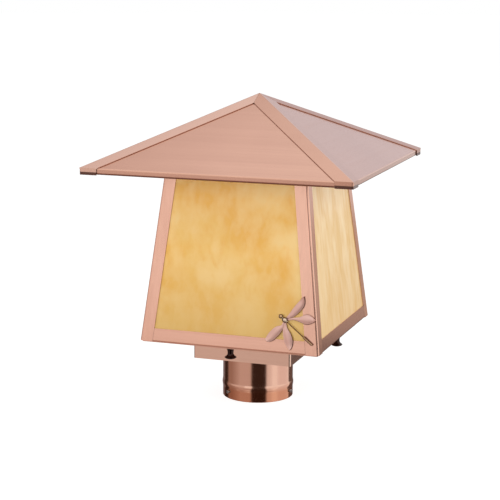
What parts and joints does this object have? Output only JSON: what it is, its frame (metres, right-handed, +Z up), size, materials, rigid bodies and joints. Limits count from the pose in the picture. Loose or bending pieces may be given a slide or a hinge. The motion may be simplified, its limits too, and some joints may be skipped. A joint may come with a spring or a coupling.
{
  "type": "outdoor post light",
  "caption": "Square tapered copper lantern with art glass panes, a hipped roof and a dragonfly on its front, on a box and a round collar that slips over a post.",
  "frame": {"origin": "on the lantern's axis at the collar's foot", "axes": "+Z up along the post, -Y towards the front face that carries the dragonfly, +X to the right"},
  "size_m": [0.3068, 0.3068, 0.3528],
  "materials": {
    "copper": "brushed natural copper",
    "wing_copper": "toned copper",
    "bead_brass": "satin",
    "dark_bronze": "dark bronze",
    "zinc_steel": "zinc plated",
    "green_screw": "green dyed zinc",
    "socket_brass": "bright",
    "porcelain": "glazed",
    "art_glass": "mottled translucent art glass",
    "lamp_glass": "frosted",
    "lamp_metal": "bare",
    "black_glass": "gloss"
  },
  "bodies": {
    "base": {"post_collar": "copper", "base_box": "copper", "base_plate": "copper", "plate_rivets": "copper", "ground_screw": "green_screw", "lamp_nipple": "zinc_steel", "nipple_locknuts": "zinc_steel", "holder_cap": "socket_brass", "holder_body": "porcelain", "terminal_screws": "socket_brass", "screw_shell": "socket_brass", "center_contact": "socket_brass"},
    "lamp": {"lamp_glass": "lamp_glass", "lamp_cap": "lamp_metal", "lamp_insulator": "black_glass", "lamp_tip": "lamp_metal"},
    "lantern": {"bottom_rail_front": "copper", "top_rail_front": "copper", "glass_front": "art_glass", "bottom_rail_right": "copper", "top_rail_right": "copper", "glass_right": "art_glass", "bottom_rail_back": "copper", "top_rail_back": "copper", "glass_back": "art_glass", "bottom_rail_left": "copper", "top_rail_left": "copper", "glass_left": "art_glass", "stile_front_right": "copper", "stile_front_left": "copper", "stile_back_right": "copper", "stile_back_left": "copper", "corner_post_front_right": "copper", "corner_post_back_right": "copper", "corner_post_back_left": "copper", "corner_post_front_left": "copper", "glass_clips": "copper", "base_studs": "zinc_steel", "dragonfly_wings": "wing_copper", "dragonfly_wire": "bead_brass", "dragonfly_beads": "bead_brass", "roof_panel_front": "copper", "roof_panel_right": "copper", "roof_panel_back": "copper", "roof_panel_left": "copper", "hip_cap_front_right": "copper", "hip_cap_back_right": "copper", "hip_cap_back_left": "copper", "hip_cap_front_left": "copper"},
    "thumb_nut_front": {"thumb_nut_front": "dark_bronze"},
    "thumb_nut_right": {"thumb_nut_right": "dark_bronze"},
    "thumb_nut_back": {"thumb_nut_back": "dark_bronze"},
    "thumb_nut_left": {"thumb_nut_left": "dark_bronze"},
    "set_screw_left": {"set_screw_left": "zinc_steel"},
    "set_screw_right": {"set_screw_right": "zinc_steel"},
    "set_screw_back": {"set_screw_back": "zinc_steel"}
  },
  "joints": [
    {"name": "lantern_lift", "type": "slide", "parent": "base", "child": "lantern", "axis": [0, 0, 1], "range_m": [0, 0.17]},
    {"name": "lamp_draw", "type": "slide", "parent": "base", "child": "lamp", "axis": [0, 0, 1], "range_m": [0, 0.026]},
    {"name": "thumb_nut_front_undo", "type": "slide", "parent": "base", "child": "thumb_nut_front", "axis": [0, 0, -1], "range_m": [0, 0.011]},
    {"name": "thumb_nut_right_undo", "type": "slide", "parent": "base", "child": "thumb_nut_right", "axis": [0, 0, -1], "range_m": [0, 0.011]},
    {"name": "thumb_nut_back_undo", "type": "slide", "parent": "base", "child": "thumb_nut_back", "axis": [0, 0, -1], "range_m": [0, 0.011]},
    {"name": "thumb_nut_left_undo", "type": "slide", "parent": "base", "child": "thumb_nut_left", "axis": [0, 0, -1], "range_m": [0, 0.011]},
    {"name": "set_screw_left_drive", "type": "slide", "parent": "base", "child": "set_screw_left", "axis": [-0.6018, -0.7986, 0], "range_m": [-0.0017, 0.006]},
    {"name": "set_screw_right_drive", "type": "slide", "parent": "base", "child": "set_screw_right", "axis": [0.9925, -0.1219, 0], "range_m": [-0.0017, 0.006]},
    {"name": "set_screw_back_drive", "type": "slide", "parent": "base", "child": "set_screw_back", "axis": [-0.3907, 0.9205, 0], "range_m": [-0.0017, 0.006]}
  ]
}
